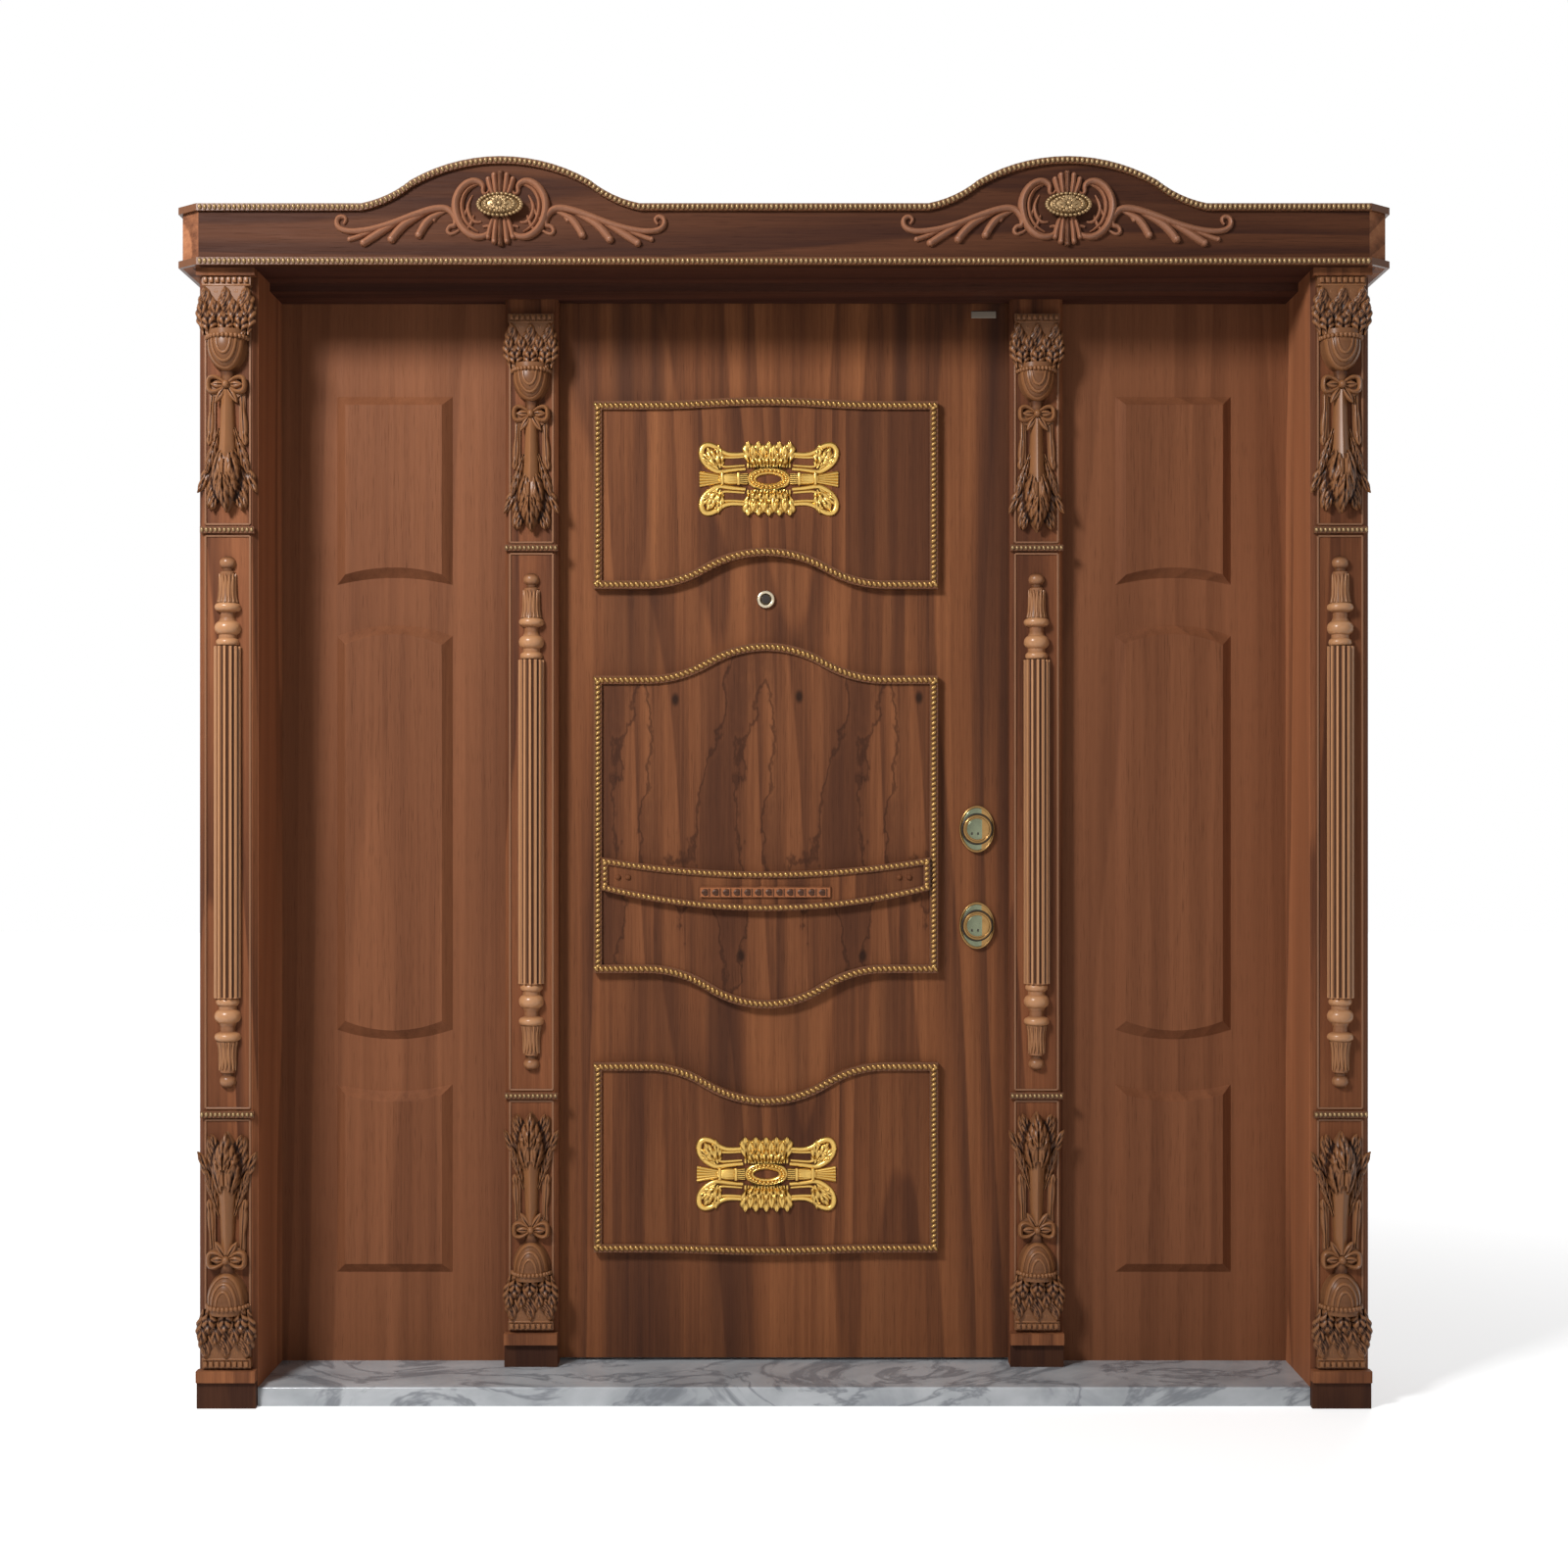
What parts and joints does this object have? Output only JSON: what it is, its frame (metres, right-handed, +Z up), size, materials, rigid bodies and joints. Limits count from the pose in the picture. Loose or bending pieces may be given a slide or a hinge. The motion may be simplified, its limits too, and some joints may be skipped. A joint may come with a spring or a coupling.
{
  "type": "steel door",
  "caption": "Ornate steel entrance door with walnut veneer: a single leaf between fixed side panels, carved pilasters, fluted half columns, a double-crested cornice and a marble sill.",
  "frame": {"origin": "floor level under the sill, at the middle of the doorway, in the plane of the wall's outer face", "axes": "+X to the right seen from outside, +Y into the building, +Z up"},
  "size_m": [2.28, 0.356, 2.349],
  "materials": {
    "walnut": "satin walnut veneer",
    "leaf_walnut": "satin figured walnut veneer on steel",
    "frame_steel": "dark brown paint",
    "marble": "polished grey-veined marble",
    "antique_gold": "aged gold",
    "bright_gilt": "bright gilt",
    "polished_brass": "polished",
    "hinge_steel": "satin"
  },
  "bodies": {
    "frame": {"marble_sill": "marble", "left_jamb": "frame_steel", "right_jamb": "frame_steel", "frame_head": "frame_steel", "left_mullion": "frame_steel", "right_mullion": "frame_steel", "left_side_panel": "walnut", "right_side_panel": "walnut", "left_outer_casing": "walnut", "right_outer_casing": "walnut", "left_inner_board": "walnut", "right_inner_board": "walnut", "left_outer_column": "walnut", "right_outer_column": "walnut", "left_inner_column": "walnut", "right_inner_column": "walnut", "left_outer_carvings": "walnut", "right_outer_carvings": "walnut", "left_inner_carvings": "walnut", "right_inner_carvings": "walnut", "pilaster_blocks": "walnut", "cornice_fascia": "walnut", "cornice_soffit": "walnut", "cornice_top_board": "walnut", "cornice_left_return": "walnut", "cornice_right_return": "walnut", "cornice_beads": "walnut", "cornice_scrolls": "walnut", "header_lining": "walnut", "pilaster_bead_strips": "antique_gold", "hinge_frame_halves": "hinge_steel"},
    "leaf": {"door_leaf": "leaf_walnut", "upper_raised_panel": "leaf_walnut", "middle_raised_panel": "leaf_walnut", "lower_raised_panel": "leaf_walnut", "panel_rope_trims": "antique_gold", "lock_band": "leaf_walnut", "band_rope_trim": "antique_gold", "gilt_mounts": "bright_gilt", "peephole": "polished_brass", "lock_escutcheons": "polished_brass", "inside_lock_roses": "polished_brass", "hinge_leaf_halves": "hinge_steel"}
  },
  "joints": [
    {"name": "door_swing", "type": "hinge", "parent": "frame", "child": "leaf", "pos_m": [-0.4585, 0.144, 1], "axis": [0, 0, 1], "range_deg": [0, 100]}
  ]
}
